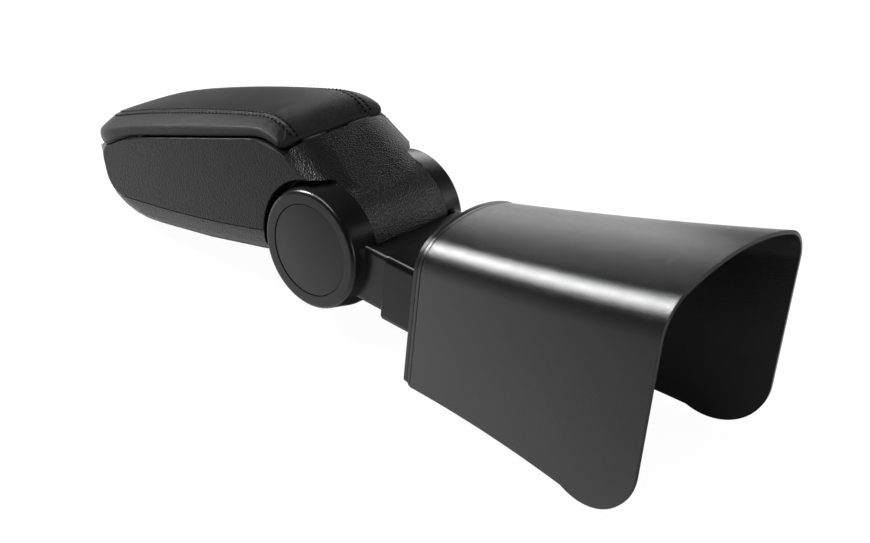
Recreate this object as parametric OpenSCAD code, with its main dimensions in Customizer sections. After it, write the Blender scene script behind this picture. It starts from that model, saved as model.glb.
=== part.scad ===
/* [Saddle hood] */
// Length of the hood from its closed front to its open end
saddle_len = 235; // [200:1:270]
// Width of the hood over its walls at the closed front
saddle_front_w = 127; // [110:1:140]
// Width of the hood over its walls at the open end
saddle_rear_w = 182; // [150:1:210]
// Height of the hood's crown above the hinge line at the front
saddle_front_top = 61.8; // [58:0.2:72]
// Height of the hood's crown above the hinge line at the open end
saddle_rear_top = 129; // [100:1:140]
// Depth of the hood's lower edge below the hinge line at the front
saddle_drop_front = 75; // [60:1:90]
// Depth of the hood's lower edge below the hinge line at the open end
saddle_drop_rear = 72.5; // [60:1:90]
// How far the middle of the hood's lower edge is bowed up
saddle_bow = 3; // [0:0.5:8]
// Wall thickness of the hood
saddle_wall = 3; // [2:0.25:4]
// Radius of the large rounded lower corners at the open end
lobe_r = 48.5; // [30:0.5:60]
// Thickness of the plate that closes the front of the hood
plate_t = 3.5; // [3:0.25:5]
// Depth of the plate's locating flange inside the hood
spigot_len = 7; // [4:0.5:12]

/* [Seat on the console] */
// Height of the console block's top above the hinge line
seat_z = 35; // [25:1:42]
// Thickness of the rubber seat pad
pad_t = 2; // [1:0.5:4]
// Thickness of the steel bracket
bracket_t = 3; // [2:0.5:4]
// Length of the bracket's horizontal leg
bracket_len = 84; // [70:1:110]
// Width of the bracket
bracket_w = 98; // [92:1:104]
// Spacing of the console screws along the hood
seat_hole_x = 50; // [36:1:60]
// Spacing of the console screws across the hood
seat_hole_y = 60; // [40:1:64]
// Radius of the console screw holes
seat_hole_r = 2.75; // [2:0.05:3.5]

/* [Neck] */
// Width of the neck over its sides
neck_w = 110; // [96:1:116]
// Height of the neck's top above the hinge line
neck_top = 21; // [16:0.5:24]
// Depth of the neck's underside below the hinge line
neck_low = 30; // [24:0.5:34]
// Distance from the hinge line to where the sleeve starts
sleeve_start = 74; // [66:0.5:80]
// Wall thickness of the sleeve
sleeve_wall = 2.6; // [2:0.1:4]
// Extra depth of the sleeve below the neck
sleeve_drop = 6; // [4:0.5:9]
// Wall thickness of the neck and its drums
neck_wall = 4; // [3:0.5:6]
// Distance from the hinge line to the front face of the hood's plate
plate_x = 109; // [104:0.5:116]

/* [Hinge drums] */
// Width of a drum, from the barrel's end to the drum's outer face
drum_w = 24; // [20:0.5:28]
// Radius of a drum at its outer face
drum_r = 50.8; // [44:0.2:54]
// Radius of a drum where it meets the barrel, and of the barrel itself
barrel_r = 55; // [52:0.5:60]
// Width of the barrel between the drums
barrel_w = 86; // [80:1:92]
// Side clearance between the barrel and a drum
side_gap = 0.3; // [0.2:0.1:0.6]
// Radius of the round cap set into a drum
cap_r = 39; // [30:0.5:42]
// Height of the cap's dome
cap_dome = 1.4; // [0.5:0.1:3]
// Radius of the hinge bolt
bolt_r = 6; // [5:0.5:8]
// Running clearance of the bolt in its bushes
bolt_clear = 0.05; // [0.02:0.01:0.09]
// Angle that the arm droops below level at its lower stop
droop = 19.9; // [10:0.1:25]
// Angle through which the arm swings up
swing = 68; // [50:1:69]

/* [Arm box] */
// Length of the box from the hinge line to its nose at the corners
nose_x = 264; // [230:1:290]
// How far the box's sides stand out past the lid's widest line
belt_out = 0.8; // [0:0.2:4]
// How far the middle of the nose bows out past the corners
nose_bow = 19; // [8:1:24]
// How far the box's nose stands out past the lid's
nose_out = 3; // [0:0.5:5]
// Height of the box's rim above the hinge line
rim_z = 91.5; // [84:0.5:98]
// Radius of the box's bottom edges
edge_r = 15; // [10:0.5:20]
// Wall thickness of the box
box_wall = 3; // [2:0.25:4]
// Height of the side panel's lower seam at its rear end
seam_z = 12.6; // [8:0.2:20]
// Straight part of the belt between that seam and the rounded bottom edge
belt_flat = 6; // [3:0.5:10]
// Thickness of the side panels
panel_t = 2.2; // [1.5:0.1:3]
// Radial gap between a drum and the notch in the side panel
notch_gap = 2.5; // [2:0.25:6]

/* [Lid] */
// Width of the lid at its widest line
lid_w = 122.4; // [110:0.2:128]
// Gap between the box's rim and the lid
lid_gap = 1.2; // [0.8:0.1:3]
// Thickness of the lid from its lower edge to its crown
lid_t = 21.8; // [18:0.5:30]
// Thickness of the lid's plastic base
base_t = 3; // [2:0.25:4]
// Thickness of the leather cover
cover_t = 1.2; // [1:0.1:2]
// Radius of the lid's hinge pin
pin_r = 2; // [1.5:0.1:3]
// Angle through which the lid opens
lid_swing = 72; // [50:1:75]

/* [Hidden] */

smooth = 96;
fit = 0.2;
black = [0.07, 0.07, 0.075];
steel = [0.62, 0.63, 0.65];

// Widths that follow from the barrel and from the lid
drum_span = barrel_w + 2 * drum_w;
box_w = lid_w + 2 * belt_out;

// Places along the hood
hood_x = plate_x + plate_t + 0.4;
hood_end = hood_x + saddle_len;
bracket_x = plate_x + plate_t;
seat_x = bracket_x + bracket_len / 2 + 6;

// Everything is stated from the hinge line and moved to the middle of the seat
module placed() { translate([-seat_x, 0, -seat_z]) children(); }
// The arm's own frame has its rim level and turns down to the droop angle
module on_arm() { placed() rotate([0, -droop, 0]) children(); }

function lerp(a, b, t) = a + (b - a) * t;
function arc(c, r, from, to, n) = [for (i = [0:n]) let (a = lerp(from, to, i / n))
    [c[0] + r * cos(a), c[1] + r * sin(a)]];
function flip(points) = [for (i = [len(points) - 1:-1:0]) [-points[i][0], points[i][1]]];
function turned(points) = [for (i = [len(points) - 1:-1:0]) points[i]];

// Skin over a list of rings with equal numbers of points, closed by a flat face at each end
function skin_sides(n, last) = [for (k = [0:last - 1], i = [0:n - 1]) each [
    [k * n + i, k * n + (i + 1) % n, (k + 1) * n + i],
    [k * n + (i + 1) % n, (k + 1) * n + (i + 1) % n, (k + 1) * n + i]]];
module skin(rings) {
    n = len(rings[0]);
    last = len(rings) - 1;
    floor = [[for (i = [n - 1:-1:0]) i]];
    top = [[for (i = [0:n - 1]) last * n + i]];
    polyhedron([for (ring = rings) each ring], concat(floor, skin_sides(n, last), top), convexity = 6);
}
// The same, with each end closed by strips from one side to the other, for curved or hollow ends
module strip_skin(rings) {
    n = len(rings[0]);
    last = len(rings) - 1;
    m = floor(n / 2);
    top = concat([for (i = [0:m - 2]) [i, i + 1, n - 2 - i, n - 1 - i]], n > 2 * m ? [[m - 1, m, m + 1]] : []);
    ends = concat([for (f = top) turned(f)], [for (f = top) [for (i = f) last * n + i]]);
    polyhedron([for (ring = rings) each ring], concat(ends, skin_sides(n, last)), convexity = 6);
}

// Plate in the plane across the hood, from x for a thickness
module across(x, t) { translate([x, 0, 0]) rotate([90, 0, 90]) linear_extrude(t, convexity = 6) children(); }
// Profile seen from the side, extruded across the width
module sideways(w) { rotate([90, 0, 0]) linear_extrude(w, center = true, convexity = 6) children(); }
// Round bar along the hinge line from one y to another
module bar(r, from, to) { translate([0, from, 0]) rotate([-90, 0, 0]) cylinder(h = to - from, r = r, $fn = smooth); }

// Arched section of the hood: straight walls, round shoulders and a shallow crown
crown_front_r = 122;
crown_rear_r = 216;
shoulder_front_r = 29;
shoulder_rear_r = 33.5;
crown_hollow = 0.12;
function half_w(t) = lerp(saddle_front_w, saddle_rear_w, t) / 2;
function crown_z(t) = lerp(saddle_front_top, saddle_rear_top, t + crown_hollow * t * (t - 1));
function half_arch(t, inset) = let (
    h = half_w(t) - inset,
    top = crown_z(t) - inset,
    rc = lerp(crown_front_r, crown_rear_r, t) - inset,
    rs = lerp(shoulder_front_r, shoulder_rear_r, t) - inset,
    cz = top - rc,
    y = h - rs,
    z = cz + sqrt(pow(rc - rs, 2) - y * y),
    joint = atan2(z - cz, y))
    concat(arc([y, z], rs, 0, joint, 7), [for (p = arc([0, cz], rc, joint, 90, 6)) if (p[1] < top - 0.001) p]);
function arch(t, inset, low) = let (side = half_arch(t, inset), h = side[0][0])
    concat([[h, low]], side, [[0, crown_z(t) - inset]], flip(side), [[-h, low]]);

// Hood: one thin moulded arch that widens and rises towards its open end
module saddle_shell() {
    steps = 9;
    low = -saddle_drop_front - 6;
    rings = [for (k = [0:steps]) let (t = k / steps, x = hood_x + saddle_len * t)
        [for (p = concat(turned(arch(t, 0, low)), arch(t, saddle_wall, low))) [x, p[0], p[1]]]];
    color(black) placed() intersection() {
        strip_skin(rings);
        sideways(saddle_rear_w + 20) polygon(hood_side());
    }
}
front_corner_r = 5;
lobe_from = 250;
function hood_side() = let (
    corner = arc([hood_x + front_corner_r, -saddle_drop_front + front_corner_r], front_corner_r, 180, 270, 6),
    lobe = arc([hood_end - lobe_r, -saddle_drop_rear + lobe_r], lobe_r, lobe_from, 360, 24),
    bow = [for (i = [1:7]) let (t = i / 8) lerp(corner[6], lobe[0], t) + [0, 4 * saddle_bow * t * (1 - t)]])
    concat([[hood_x - 1, 2 * saddle_rear_top]], corner, bow, lobe, [[hood_end, 2 * saddle_rear_top]]);

// Outline of the hood's front, closed along its lower edge
module front_outline(inset) {
    low = -saddle_drop_front + inset;
    r = front_corner_r;
    h = half_w(0) - inset;
    a = half_arch(0, inset);
    polygon(concat(arc([h - r, low + r], r, -90, 0, 6), a, [[0, crown_z(0) - inset]], flip(a),
        arc([-h + r, low + r], r, 180, 270, 6)));
}
screw_r = 3;
boss_r = 2 * screw_r;
boss_in = neck_wall + boss_r + 6;
neck_holes = [for (y = [-1, 1], z = [neck_top - neck_wall - boss_r - 4, -neck_low + neck_wall + boss_r + 2])
    [y * (neck_w / 2 - boss_in), z]];
module at_neck_holes(x, r, t) {
    for (p = neck_holes) translate([x, p[0], p[1]]) rotate([0, 90, 0]) cylinder(h = t, r = r, $fn = 48);
}

// Plate that closes the front of the hood, with a flange that locates inside it
module front_plate() {
    flange = saddle_wall + fit;
    color(black) placed() difference() {
        union() {
            across(plate_x, plate_t) front_outline(0);
            across(bracket_x, spigot_len) difference() {
                front_outline(flange);
                front_outline(flange + 2.4);
                translate([0, -saddle_drop_front]) square([saddle_front_w, 2 * front_corner_r], center = true);
            }
        }
        at_neck_holes(plate_x - 1, screw_r + fit, plate_t + 2);
    }
}

// Folded steel bracket: one leg on the plate, one leg on the console
bend_r = 6;
leg_z = seat_z + pad_t;
module mount_bracket() {
    top = leg_z + bracket_t;
    inner = bend_r - bracket_t;
    color(steel) placed() difference() {
        sideways(bracket_w) polygon(concat(
            [[bracket_x, -neck_low], [bracket_x + bracket_t, -neck_low]],
            arc([bracket_x + bend_r, top - bend_r], inner, 180, 90, 6),
            [[bracket_x + bracket_len, leg_z], [bracket_x + bracket_len, top]],
            arc([bracket_x + bend_r, top - bend_r], bend_r, 90, 180, 6)));
        at_neck_holes(bracket_x - 1, screw_r + fit, bracket_t + 2);
        at_seat_holes(leg_z - 1, bracket_t + 2);
    }
}
module at_seat_holes(z, t) {
    for (x = [-1, 1], y = [-1, 1]) translate([seat_x + x * seat_hole_x / 2, y * seat_hole_y / 2, z])
        cylinder(h = t, r = seat_hole_r, $fn = 48);
}

// Rubber pad between the bracket and the console
module seat_pad() {
    color([0.12, 0.12, 0.12]) placed() difference() {
        translate([bracket_x + bend_r, -bracket_w / 2, seat_z])
            cube([bracket_len - bend_r, bracket_w, pad_t]);
        at_seat_holes(seat_z - 1, pad_t + 2);
    }
}

// Four socket screws that clamp bracket, plate and neck together
screw_grip = 12;
module neck_bolts() {
    head = bracket_x + bracket_t;
    color(steel) placed() difference() {
        union() {
            at_neck_holes(plate_x - screw_grip, screw_r - 0.05, head - plate_x + screw_grip);
            at_neck_holes(head, screw_r * 1.7, screw_r * 1.8);
        }
        for (p = neck_holes) translate([head + screw_r * 0.8, p[0], p[1]]) rotate([0, 90, 0])
            cylinder(h = screw_r * 2, r = screw_r * 0.95, $fn = 6);
    }
}

// Rounded rectangle across the neck, from its underside to its top
module neck_section(half, low, top, r) {
    hull() for (y = [-half + r, half - r], z = [low + r, top - r]) translate([y, z]) circle(r = r, $fn = 32);
}
// Sleeve that trims the neck between the drums and the hood
module neck_sleeve() {
    half = neck_w / 2 + sleeve_wall + fit;
    low = -neck_low - sleeve_drop;
    top = neck_top + sleeve_wall + fit;
    len = plate_x - sleeve_start;
    color(black) placed() difference() {
        across(sleeve_start, len) neck_section(half, low, top, 7);
        across(sleeve_start - 1, len + 2) neck_section(neck_w / 2 + fit, -neck_low - fit, neck_top + fit, 5);
        across(sleeve_start + 3, len) neck_section(neck_w / 2 - 8, low + sleeve_wall, -neck_low + 4, 2);
    }
}

// Yoke: two hollow drums carried by the neck
ear_y = barrel_w / 2 + side_gap;
web = 7;
face_r = 4;
cap_seat = 4;
module drum(side) {
    y1 = drum_span / 2;
    profile = concat([[bolt_r + fit / 2, ear_y], [barrel_r, ear_y]],
        arc([drum_r - face_r, y1 - face_r], face_r, 8, 90, 6),
        [[cap_r + 0.5, y1], [cap_r + 0.5, y1 - cap_seat], [cap_r - 3, y1 - cap_seat],
        [cap_r - 3, ear_y + web], [bolt_r + fit / 2, ear_y + web]]);
    rotate([side > 0 ? -90 : 90, 0, 0]) rotate_extrude($fn = smooth) polygon(profile);
}
neck_front = 34;
relief_side = 4;
module yoke() {
    len = plate_x - neck_front;
    open_from = barrel_r + 8;
    color(black) placed() difference() {
        union() {
            difference() {
                union() {
                    across(neck_front, len) neck_section(neck_w / 2, -neck_low, neck_top, 5);
                }
                across(open_from, len) neck_section(neck_w / 2 - neck_wall, -neck_low + neck_wall,
                    neck_top - neck_wall, 2);
                bar(barrel_r + 2 * side_gap, -ear_y, ear_y);
                sideways(2 * (ear_y + relief_side)) neck_relief();
                for (s = [-1, 1]) bar_side(cap_r, s, ear_y + web, drum_span / 2);
            }
            at_neck_holes(open_from - 1, boss_r, plate_x - open_from + 1);
            drum(1);
            drum(-1);
        }
        at_neck_holes(plate_x - screw_grip - 2, screw_r, screw_grip + 3);
        stop_slot();
    }
}
// Space that the back panel needs in front of the neck's top when the arm is right up
module neck_relief() {
    a = back_turn + droop - swing;
    r = barrel_r + 1.8 * side_gap;
    foot = [r * cos(a), r * sin(a)];
    polygon([foot, foot + 2 * neck_front * [-sin(a), cos(a)], [neck_front, 2 * neck_front], [neck_front, 0]]);
}
module bar_side(r, side, from, to) {
    if (side > 0) bar(r, from, to);
    if (side < 0) bar(r, -to, -from);
}

// Round cap with a shallow dome, pressed into each drum
module cap(side) {
    y1 = drum_span / 2;
    edge = y1 - 0.6;
    dome_r = (cap_r * cap_r + cap_dome * cap_dome) / (2 * cap_dome);
    start = acos(cap_r / dome_r);
    profile = concat([[0, y1 - cap_seat], [cap_r, y1 - cap_seat]],
        arc([0, edge + cap_dome - dome_r], dome_r, start, 90, 10));
    color(black) placed() rotate([side > 0 ? -90 : 90, 0, 0]) rotate_extrude($fn = smooth) polygon(profile);
}
module left_cap() { cap(-1); }
module right_cap() { cap(1); }

// Hinge bolt through both drums, its nut and the disc spring that sets the friction
bolt_head = 6;
nut_t = 8;
spring_h = 3;
module pivot_bolt() {
    head = ear_y + web;
    color(steel) placed() union() {
        bar(bolt_r, -head, head + spring_h + nut_t + 1);
        translate([0, -head - bolt_head, 0]) rotate([-90, 0, 0])
            cylinder(h = bolt_head, r = bolt_r * 1.75, $fn = 6);
    }
}
module pivot_nut() {
    color(steel) placed() difference() {
        translate([0, ear_y + web + spring_h, 0]) rotate([-90, 0, 0])
            cylinder(h = nut_t, r = bolt_r * 1.75, $fn = 6);
        bar(bolt_r, ear_y, ear_y + web + spring_h + nut_t + 1);
    }
}
module disc_spring() {
    y = ear_y + web;
    color(steel) placed() rotate([-90, 0, 0]) rotate_extrude($fn = smooth)
        polygon([[bolt_r + 0.3, y + 1], [bolt_r * 2.4, y], [bolt_r * 2.4, y + 2], [bolt_r + 0.3, y + spring_h]]);
}

// Friction washer against each drum, in a recess in the barrel's end
recess = 3;
washer_t = 1.8;
washer_r = 22;
module friction_washer(side) {
    color([0.45, 0.38, 0.28]) placed() difference() {
        bar_side(washer_r, side, ear_y - washer_t, ear_y);
        bar(bolt_r + fit, -ear_y - 1, ear_y + 1);
    }
}
module left_friction_washer() { friction_washer(-1); }
module right_friction_washer() { friction_washer(1); }

// Flanged bush pressed into each end of the barrel's hub
hub_end = barrel_w / 2 - recess;
bush_wall = 3;
module bush(side) {
    color([0.75, 0.72, 0.6]) on_arm() difference() {
        union() {
            bar_side(bolt_r + bush_wall, side, hub_end - 16, hub_end);
            bar_side(bolt_r + bush_wall + 4, side, hub_end, ear_y - washer_t - side_gap);
        }
        bar(bolt_r + bolt_clear, -ear_y, ear_y);
    }
}
module left_bush() { bush(-1); }
module right_bush() { bush(1); }

// Plan of the box and lid: straight sides and a bowed nose with soft corners
nose_start = -nose_x + 34;
nose_power = 2.9;
box_rear = -14;
function plan(half, inset, rear, out = 0) = let (
    h = half - inset,
    a = nose_x + nose_bow + nose_start - inset + out,
    nose = [for (i = [1:11]) let (u = 90 - 90 * i / 12)
        [nose_start - a * pow(cos(u), 2 / nose_power), h * pow(sin(u), 2 / nose_power)]],
    turn = min(rear, fall_from) - 20,
    side = concat([for (i = [0:3]) lerp(rear, turn, i / 4)], [for (i = [0:2]) lerp(turn, dip_from, i / 2)],
        [(dip_from + nose_start) / 2, nose_start]),
    near = concat([for (x = side) [x, -h]],
        [for (p = nose) [p[0], -p[1]]]),
    tip = [[nose_start - a, 0]])
    concat(near, tip, [for (i = [len(near) - 1:-1:0]) [near[i][0], -near[i][1]]]);

// Gentle curves seen from the side: belly seam, underside, and the fall of the rim at the rear
belly_r = 1300;
belly_slope = 0.058;
belly_rear = -51;
nose_rise_from = -212;
nose_rise_r = 80;
fall_from = -50;
fall_r = 48;
belt = belt_flat + edge_r;
function belly(x) = let (d = x - belly_rear) seam_z - belly_slope * d + d * d / (2 * belly_r);
function under(x) = belly(x) - belt + (x < nose_rise_from ? pow(x - nose_rise_from, 2) / (2 * nose_rise_r) : 0);
dip_from = -205;
dip_len = 65;
dip = 10;
function ease(t) = t * t * (3 - 2 * t);
function fall(x) = x > fall_from ? pow(x - fall_from, 2) / (2 * fall_r)
    : dip * ease(max(0, min(1, (dip_from - x) / dip_len)));

// Rings of the box body from its underside to above its rim, kept inside by a wall
function body_rings(wall, side, rear) = let (
    half = box_w / 2 - side + wall,
    r = edge_r - wall,
    low = [for (i = [0:4]) let (a = 90 * i / 4) [r * (1 - sin(a)), wall + r * (1 - cos(a))]],
    lift = [for (q = low) [for (p = plan(half, q[0] + wall, rear, nose_out)) [p[0], p[1], under(p[0]) + q[1]]]],
    high = [for (z = [rim_z - 2 * edge_r, rim_z + edge_r]) [for (p = plan(half, wall, rear, nose_out))
        [p[0], p[1], max(z, under(p[0]) + edge_r + 1)]]])
    concat(lift, high);

// Side view of the region above the rim, and of a band along the rim or the lid's lower edge
far_front = -nose_x - 60;
function rim_line(z, rear) = [for (x = concat([far_front], [for (i = [0:7]) lerp(dip_from - dip_len, dip_from, i / 7)],
    [for (i = [0:8]) lerp(fall_from, rear, i / 8)])) [x, z - fall(x)]];
module above_rim(rear) {
    polygon(concat(rim_line(rim_z, rear), [[rear, 2 * rim_z], [far_front, 2 * rim_z]]));
}
module band(low, high, rear) { polygon(concat(rim_line(low, rear), turned(rim_line(high, rear)))); }

// Storage liner inside the tub
tub_end = -66;
deck_z = rim_z - 28;
side_wall = panel_t + box_wall - 0.4;
tub_half = box_w / 2 - side_wall;
flange_w = 10.6;
liner_half = tub_half - flange_w - 3 * fit;
liner_front = -nose_x + 24;
liner_rear = tub_end - flange_w - 0.8;
liner_floor = 36;
liner_wall = 1.8;
flange_top = rim_z - 2;

// Catch: a magnet under the lid's nose and the steel plate on the box that it holds
lid_low = rim_z + lid_gap;
magnet_r = 6;
magnet_t = 4;
magnet_x = -nose_x + 4;
magnet_in = 1;
magnet_z = lid_low - fall(magnet_x) + magnet_in;
striker_w = 26;
striker_len = 15;
striker_t = 1.5;
striker_x = magnet_x - 6;
striker_z = magnet_z - magnet_t - 0.4 - striker_t;

// Rear of the box: a back panel that runs straight down from the rim and tangent into the barrel,
// crowned across so that its long edges fall to the side panels
back_top = [-8, rim_z - 6.5];
back_drop = 9;
back_crown = 5;
back_depth = 30;
back_turn = atan2(back_top[1], back_top[0]) - acos(barrel_r / norm(back_top));
back_line = barrel_r * tan(acos(barrel_r / norm(back_top)));
function back_point(r, s) = [r * cos(back_turn) - s * sin(back_turn), r * sin(back_turn) + s * cos(back_turn)];
function back_ring(c, n, drop, half) = concat(
    [for (i = [-6:6]) let (y = half * i / 6, d = drop * pow(abs(i) / 6, back_crown)) [c[0] - n[0] * d, y, c[1] - n[1] * d]],
    [for (y = [half, -half]) [c[0] - n[0] * back_depth, y, c[1] - n[1] * back_depth]]);
back_sink = 0.2;
module back_panel(half) {
    n = [cos(back_turn), sin(back_turn)];
    skin([for (s = [back_line, back_line * 0.5, back_line * 0.25, 0])
        back_ring(back_point(barrel_r - back_sink, s), n, back_drop * min(1, 0.3 + 2.8 * s / back_line), half)]);
}
// Hollow between the storage tub and the back panel, open to the barrel's inside
module back_hollow() {
    front = tub_end + box_wall;
    floor = under(tub_end) + box_wall;
    r = barrel_r - box_wall - 2 * back_sink;
    reach = (deck_z - back_point(r, 0)[1]) / cos(back_turn);
    polygon([[front, floor], [front, deck_z], back_point(r, reach), back_point(r, 1), [0, 0], [-barrel_r * 0.8, floor]]);
}
hub_r = 15;
notch_r = barrel_r + notch_gap;
window_w = 50;
module arm_shell() {
    half = box_w / 2;
    bore = barrel_w / 2 - box_wall - recess;
    color(black) on_arm() difference() {
        union() {
            difference() {
                union() {
                    strip_skin(body_rings(0, 0, box_rear + 1));
                    back_panel(half - back_sink);
                    bar(barrel_r, -barrel_w / 2 - 1, barrel_w / 2 + 1);
                }
                strip_skin(body_rings(box_wall, side_wall, tub_end));
                for (s = [-1, 1]) bar_side(notch_r, s, barrel_w / 2, box_w);
                sideways(box_w + 40) above_rim(box_rear + 2);
                sideways(2 * bore) back_hollow();
                bar(barrel_r - box_wall, -bore, bore);
                // Window that joins that hollow to the tub below the liner
                translate([tub_end - 2, -window_w / 2, 0]) cube([box_wall + 4, window_w, liner_floor - 8]);
            }
            bar(hub_r, -hub_end - 1, hub_end + 1);
            hinge_ears();
            liner_rails();
            striker_ledge();
        }
        knuckle_slots();
        hinge_pins(pin_r);
        on_stop_ring() bar(stop_r, -ear_y - stop_depth, -ear_y + 6);
        bar(bolt_r + bush_wall, -barrel_w, barrel_w);
        for (s = [-1, 1]) bar_side(washer_r + 2, s, hub_end, barrel_w / 2 + 2);
        // Seats for the side panels
        for (s = [-1, 1]) translate([0, s * (half - panel_t + 5), 0]) sideways(10) panel_outline(fit);
    }
}
// Rails along the tub's sides that carry the liner's flange
rail_h = 3;
rail_w = 4;
rail_front = dip_from + 5;
rail_rear = liner_rear - 20;
module liner_rails() {
    for (s = [-1, 1]) translate([rail_front, s * (tub_half - rail_w / 2 + 0.5) - rail_w / 2 - 0.5,
        flange_top - liner_wall - rail_h]) cube([rail_rear - rail_front, rail_w + 1, rail_h]);
}
// Shelf behind the nose for the catch's striker plate
module striker_ledge() {
    deep = 3;
    front = -nose_x - nose_bow - nose_out + box_wall / 2;
    sideways(striker_w + 4) polygon([[front, striker_z], [striker_x + striker_len, striker_z],
        [striker_x + striker_len, striker_z - deep], [front, striker_z - 4 * deep]]);
}
// Lid hinge: two steel pins in ears at the top of the back panel, just behind the lid
hinge_x = box_rear + 1.6;
hinge_z = lid_low - fall(box_rear) + 2.8;
knuckle_r = 3;
knuckles = [-26, 26];
knuckle_w = 14;
ear_w = 6;
module at_hinge() { translate([hinge_x, 0, hinge_z]) children(); }
module hinge_ears() {
    for (y = knuckles, s = [-1, 1]) translate([0, y + s * (knuckle_w / 2 + side_gap + ear_w / 2), 0]) at_hinge() {
        bar(knuckle_r, -ear_w / 2, ear_w / 2);
        translate([-knuckle_r, -ear_w / 2, -12]) cube([2 * knuckle_r, ear_w, 12]);
    }
}
module knuckle_slots() {
    for (y = knuckles) at_hinge() bar(knuckle_r + 1, y - knuckle_w / 2 - side_gap, y + knuckle_w / 2 + side_gap);
}
module hinge_pins(r) {
    reach = knuckle_w / 2 + side_gap + ear_w - 1;
    for (y = knuckles) at_hinge() bar(r, y - reach, y + reach);
}
module lid_hinge_pins() { color(steel) on_arm() hinge_pins(pin_r); }

// Stop pin in the barrel's end, which runs in a curved slot in the near drum
stop_r = 4;
stop_ring = 31;
stop_from = 150;
stop_depth = 5;
module on_stop_ring() {
    translate([stop_ring * cos(stop_from), 0, stop_ring * sin(stop_from)]) children();
}
module stop_pin() {
    color(steel) on_arm() on_stop_ring() bar(stop_r, -ear_y - stop_depth + 0.5, -ear_y + 6);
}
module stop_slot() {
    start = stop_from + droop;
    r = stop_r + side_gap + 0.1;
    end = start - swing;
    outline = concat(arc([0, 0], stop_ring + r, end, start, 12),
        arc(stop_ring * [cos(start), sin(start)], r, start, start + 180, 8),
        arc([0, 0], stop_ring - r, start, end, 12),
        arc(stop_ring * [cos(end), sin(end)], r, end + 180, end + 360, 8));
    translate([0, -ear_y - stop_depth / 2 + 0.5, 0]) sideways(stop_depth + 1) polygon(outline);
}

// Outline of the textured side panel, seen from the side
panel_nose_r = 24;
panel_top_r = 14;
dip_mid = dip_from - 0.3 * dip_len;
module panel_outline(grow) {
    front = -nose_x + 6;
    low = [for (i = [0:8]) let (x = lerp(front + panel_nose_r + 4, -40, i / 8)) [x, belly(x)]];
    difference() {
        offset(delta = grow) hull() {
            translate([front + panel_nose_r, belly(front + panel_nose_r + 4) + panel_nose_r + 0.6])
                circle(r = panel_nose_r, $fn = 64);
            translate([front + panel_top_r, rim_z - dip - panel_top_r + 4]) circle(r = panel_top_r, $fn = 48);
            polygon(concat(low, [[20, belly(-40)], [20, 45], [box_rear, rim_z - fall(box_rear)], [fall_from, rim_z],
                [dip_from, rim_z], [dip_mid, rim_z - fall(dip_mid)]]));
        }
        circle(r = notch_r - grow, $fn = smooth);
        above_rim(box_rear + 20);
    }
}
module side_panel(side) {
    color([0.09, 0.09, 0.095]) on_arm() translate([0, side * (box_w / 2 - panel_t / 2), 0])
        sideways(panel_t) panel_outline(0);
}
module left_side_panel() { side_panel(-1); }
module right_side_panel() { side_panel(1); }

// Removable liner of the storage tub, with a flange on the box's rim
module liner_plan(inset) {
    r = 14 - inset;
    hull() {
        for (s = [-1, 1]) {
            translate([liner_front + inset + r + 8, s * (liner_half - inset - r)]) circle(r = r, $fn = 32);
            translate([liner_rear - inset - r, s * (liner_half - inset - r)]) circle(r = r, $fn = 32);
        }
        translate([liner_front + inset + 30, 0]) circle(r = 30, $fn = 48);
    }
}
module storage_liner() {
    color([0.13, 0.13, 0.135]) on_arm() difference() {
        union() {
            intersection() {
                translate([0, 0, liner_floor]) linear_extrude(rim_z) liner_plan(0);
                sideways(box_w) band(0, flange_top, liner_rear + 1);
            }
            intersection() {
                linear_extrude(2 * rim_z) offset(r = flange_w) liner_plan(0);
                sideways(box_w) band(flange_top - liner_wall, flange_top, fall_from + 1);
            }
        }
        translate([0, 0, liner_floor + liner_wall]) linear_extrude(rim_z) liner_plan(liner_wall);
    }
}
module felt_mat() {
    color([0.2, 0.2, 0.21]) on_arm() translate([0, 0, liner_floor + liner_wall]) linear_extrude(1.6)
        liner_plan(liner_wall + 0.4);
}

// Rings of the lid from its lower edge up to its crown; inset is the wrap below the outer skin
lid_rear = box_rear - 1.8;
lid_rings = [[1.2, 0], [0.2, lid_t * 0.13], [0, lid_t * 0.28], [0.8, lid_t * 0.42], [6, lid_t * 0.57],
    [12, lid_t * 0.73], [18, lid_t * 0.87], [25, lid_t * 0.93], [37, lid_t * 0.98], [54, lid_t]];
lid_peak = -160;
lid_taper_rear = 1.9e-5;
lid_taper_nose = 1.8e-5;
function swell(x) = let (d = x - lid_peak) 1 - (d > 0 ? lid_taper_rear : lid_taper_nose) * d * d;
// The lower edge dips at the nose, and the padding above it takes less and less of that dip
function dip_share(x, h) = x < dip_from ? 1 - pow(h, 0.6) : 1;
function lid_skin(inset) = [for (q = lid_rings) let (h = q[1] / lid_t)
    [for (p = plan(lid_w / 2, q[0] + inset, lid_rear - q[0] * 0.6 - inset))
    [p[0], p[1], lid_low + max(0, q[1] * lerp(1, swell(p[0]), h) - inset) - fall(p[0]) * dip_share(p[0], h)]]];

module lid_plan(inset) {
    polygon(plan(lid_w / 2, inset, lid_rear - inset));
}

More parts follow.
